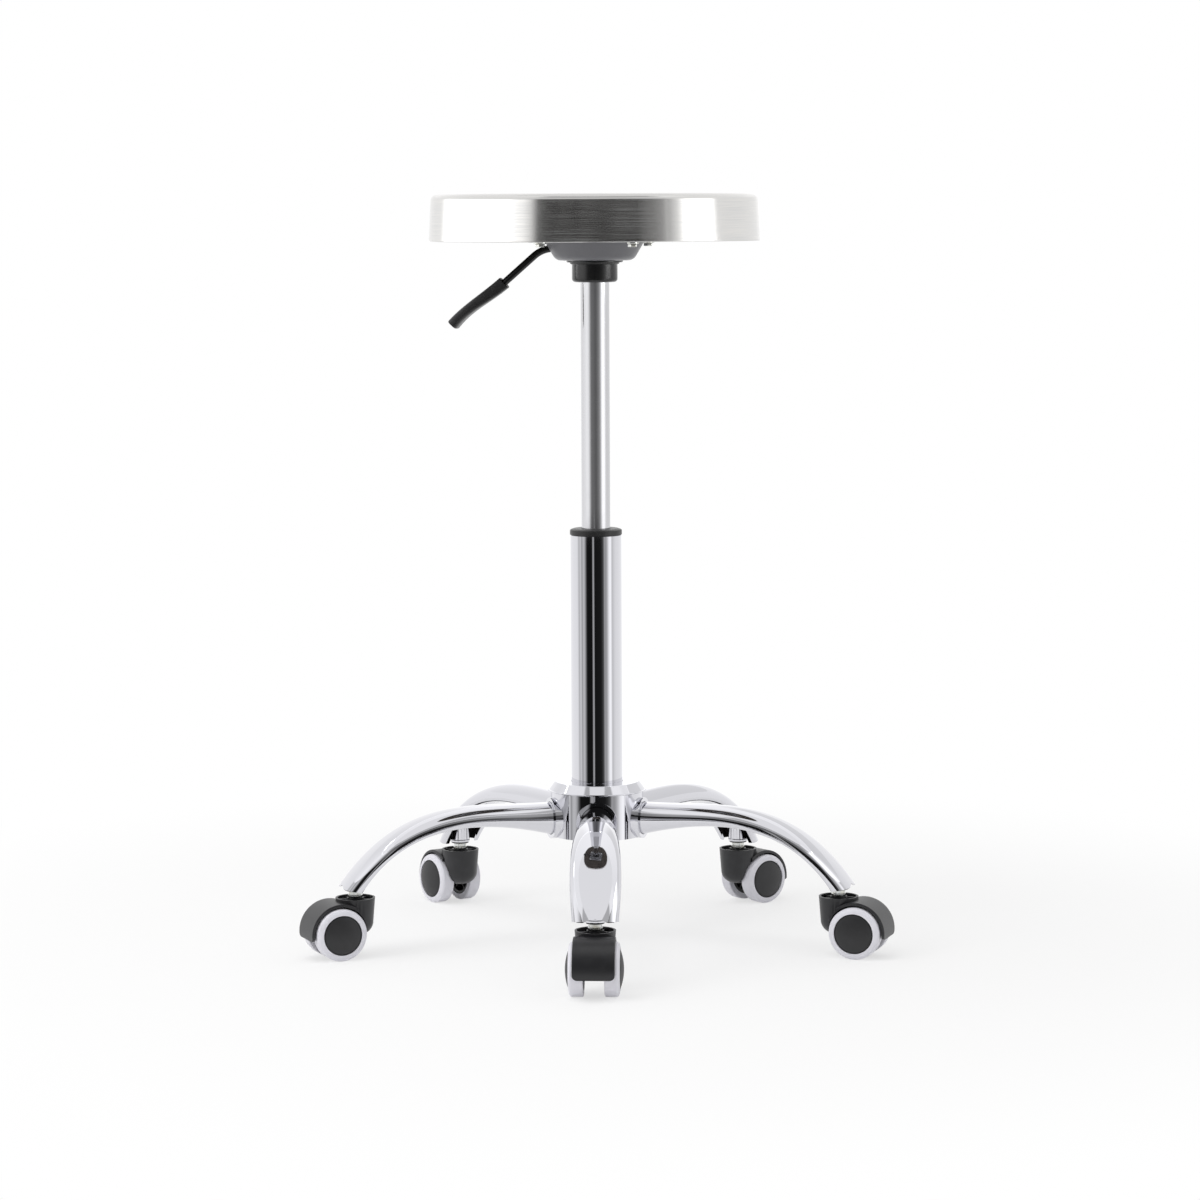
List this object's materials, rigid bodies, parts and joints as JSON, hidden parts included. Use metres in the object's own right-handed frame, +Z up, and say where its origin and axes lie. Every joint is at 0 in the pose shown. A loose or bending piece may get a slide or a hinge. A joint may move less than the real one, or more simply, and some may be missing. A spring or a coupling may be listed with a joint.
{
  "type": "adjustable swivel stool",
  "caption": "Round brushed steel stool on a gas-lift column with a release lever and a five-leg chrome base on twin-wheel casters.",
  "frame": {"origin": "on the floor, on the axis of the column", "axes": "+Z up the column, -Y along the front leg, the release lever towards -X"},
  "size_m": [0.5713, 0.5444, 0.7264],
  "materials": {
    "brushed_pan": "Brushed stainless sheet of the seat pan, brushed around the skirt",
    "core_board": "Black-stained board that fills the pan",
    "grey_plate": "Dark grey painted steel of the mounting plate and its dish",
    "black_metal": "Black painted steel of the taper socket and the lever rod",
    "black_plastic": "Black moulded grip, bush and guide",
    "tube_steel": "Plated pressure tube of the gas lift",
    "steel": "Bare steel of the parts inside the gas lift",
    "chrome": "Bright chrome plate of the column, the hub, the legs and the sockets",
    "zinc": "Zinc-plated steel of stems, axles, bolts and inserts",
    "bearing_brass": "Brass cage of the thrust bearing",
    "bumper": "Rubber buffer under the pressure tube",
    "housing_plastic": "Dark grey moulded nylon of the caster housings",
    "wheel_plastic": "Near-black moulded wheel centres with their caps",
    "white_tread": "White polyurethane treads"
  },
  "bodies": {
    "base": {"hub": "chrome", "hub_collar": "chrome", "front_leg": "chrome", "right_leg": "chrome", "rear_right_leg": "chrome", "rear_left_leg": "chrome", "left_leg": "chrome", "stem_sockets": "chrome", "caster_stems": "zinc", "column_tube": "chrome", "column_bush": "black_plastic", "bearing_lower_race": "steel"},
    "bearing": {"bearing_cage": "bearing_brass"},
    "rod": {"piston_rod": "chrome", "piston": "steel", "bump_stop": "bumper", "bearing_upper_race": "steel", "rod_clip": "steel"},
    "seat": {"seat_pan": "brushed_pan", "seat_core": "core_board", "insert_nuts": "zinc", "mounting_plate": "grey_plate", "mount_bolts": "zinc", "taper_socket": "black_metal", "pressure_tube": "tube_steel", "rod_guide": "black_plastic", "lever_pivot": "zinc"},
    "lever": {"lever_rod": "black_metal", "lever_grip": "black_plastic"},
    "release": {"release_pin": "steel"},
    "front_caster": {"front_caster_housing": "housing_plastic", "front_caster_axle": "zinc"},
    "front_left_wheel": {"front_caster_left_core": "wheel_plastic", "front_caster_left_tread": "white_tread"},
    "front_right_wheel": {"front_caster_right_core": "wheel_plastic", "front_caster_right_tread": "white_tread"},
    "right_caster": {"right_caster_housing": "housing_plastic", "right_caster_axle": "zinc"},
    "right_left_wheel": {"right_caster_left_core": "wheel_plastic", "right_caster_left_tread": "white_tread"},
    "right_right_wheel": {"right_caster_right_core": "wheel_plastic", "right_caster_right_tread": "white_tread"},
    "rear_right_caster": {"rear_right_caster_housing": "housing_plastic", "rear_right_caster_axle": "zinc"},
    "rear_right_left_wheel": {"rear_right_caster_left_core": "wheel_plastic", "rear_right_caster_left_tread": "white_tread"},
    "rear_right_right_wheel": {"rear_right_caster_right_core": "wheel_plastic", "rear_right_caster_right_tread": "white_tread"},
    "rear_left_caster": {"rear_left_caster_housing": "housing_plastic", "rear_left_caster_axle": "zinc"},
    "rear_left_left_wheel": {"rear_left_caster_left_core": "wheel_plastic", "rear_left_caster_left_tread": "white_tread"},
    "rear_left_right_wheel": {"rear_left_caster_right_core": "wheel_plastic", "rear_left_caster_right_tread": "white_tread"},
    "left_caster": {"left_caster_housing": "housing_plastic", "left_caster_axle": "zinc"},
    "left_left_wheel": {"left_caster_left_core": "wheel_plastic", "left_caster_left_tread": "white_tread"},
    "left_right_wheel": {"left_caster_right_core": "wheel_plastic", "left_caster_right_tread": "white_tread"}
  },
  "joints": [
    {"name": "bearing_roll", "type": "hinge", "parent": "base", "child": "bearing", "pos_m": [0, 0, 0.1121], "axis": [0, 0, 1], "continuous": true},
    {"name": "seat_swivel", "type": "hinge", "parent": "base", "child": "rod", "pos_m": [0, 0, 0.1121], "axis": [0, 0, 1], "continuous": true},
    {"name": "seat_lift", "type": "slide", "parent": "rod", "child": "seat", "axis": [0, 0, 1], "range_m": [-0.22, 0]},
    {"name": "lever_lift", "type": "hinge", "parent": "seat", "child": "lever", "pos_m": [-0.02954, 0.00521, 0.6744], "axis": [0.1736, 0.9848, 0], "range_deg": [0, 6], "stiffness_Nm_per_rad": 10, "springref_deg": -11.46},
    {"name": "release_press", "type": "slide", "parent": "seat", "child": "release", "axis": [0, 0, 1], "range_m": [-0.0033, 0]},
    {"name": "front_caster_swivel", "type": "hinge", "parent": "base", "child": "front_caster", "pos_m": [0, -0.2435, 0.05], "axis": [0, 0, 1], "continuous": true},
    {"name": "front_left_wheel_roll", "type": "hinge", "parent": "front_caster", "child": "front_left_wheel", "pos_m": [-0.00073, -0.26449, 0.025], "axis": [0.9994, -0.0349, 0], "continuous": true},
    {"name": "front_right_wheel_roll", "type": "hinge", "parent": "front_caster", "child": "front_right_wheel", "pos_m": [-0.00073, -0.26449, 0.025], "axis": [0.9994, -0.0349, 0], "continuous": true},
    {"name": "right_caster_swivel", "type": "hinge", "parent": "base", "child": "right_caster", "pos_m": [0.23158, -0.07525, 0.05], "axis": [0, 0, 1], "continuous": true},
    {"name": "right_left_wheel_roll", "type": "hinge", "parent": "right_caster", "child": "right_left_wheel", "pos_m": [0.25144, -0.08208, 0.025], "axis": [0.3256, 0.9455, 0], "continuous": true},
    {"name": "right_right_wheel_roll", "type": "hinge", "parent": "right_caster", "child": "right_right_wheel", "pos_m": [0.25144, -0.08208, 0.025], "axis": [0.3256, 0.9455, 0], "continuous": true},
    {"name": "rear_right_caster_swivel", "type": "hinge", "parent": "base", "child": "rear_right_caster", "pos_m": [0.14313, 0.197, 0.05], "axis": [0, 0, 1], "continuous": true},
    {"name": "rear_right_left_wheel_roll", "type": "hinge", "parent": "rear_right_caster", "child": "rear_right_left_wheel", "pos_m": [0.15945, 0.21021, 0.025], "axis": [-0.6293, 0.7771, 0], "continuous": true},
    {"name": "rear_right_right_wheel_roll", "type": "hinge", "parent": "rear_right_caster", "child": "rear_right_right_wheel", "pos_m": [0.15945, 0.21021, 0.025], "axis": [-0.6293, 0.7771, 0], "continuous": true},
    {"name": "rear_left_caster_swivel", "type": "hinge", "parent": "base", "child": "rear_left_caster", "pos_m": [-0.14313, 0.197, 0.05], "axis": [0, 0, 1], "continuous": true},
    {"name": "rear_left_left_wheel_roll", "type": "hinge", "parent": "rear_left_caster", "child": "rear_left_left_wheel", "pos_m": [-0.15487, 0.21441, 0.025], "axis": [-0.829, -0.5592, 0], "continuous": true},
    {"name": "rear_left_right_wheel_roll", "type": "hinge", "parent": "rear_left_caster", "child": "rear_left_right_wheel", "pos_m": [-0.15487, 0.21441, 0.025], "axis": [-0.829, -0.5592, 0], "continuous": true},
    {"name": "left_caster_swivel", "type": "hinge", "parent": "base", "child": "left_caster", "pos_m": [-0.23158, -0.07525, 0.05], "axis": [0, 0, 1], "continuous": true},
    {"name": "left_left_wheel_roll", "type": "hinge", "parent": "left_caster", "child": "left_left_wheel", "pos_m": [-0.25077, -0.08379, 0.025], "axis": [0.4067, -0.9135, 0], "continuous": true},
    {"name": "left_right_wheel_roll", "type": "hinge", "parent": "left_caster", "child": "left_right_wheel", "pos_m": [-0.25077, -0.08379, 0.025], "axis": [0.4067, -0.9135, 0], "continuous": true}
  ],
  "couplings": [
    {"joint": "bearing_roll", "follows": "seat_swivel", "ratio": 0.5},
    {"joint": "release_press", "follows": "lever_lift", "m_per_rad": -0.03}
  ]
}
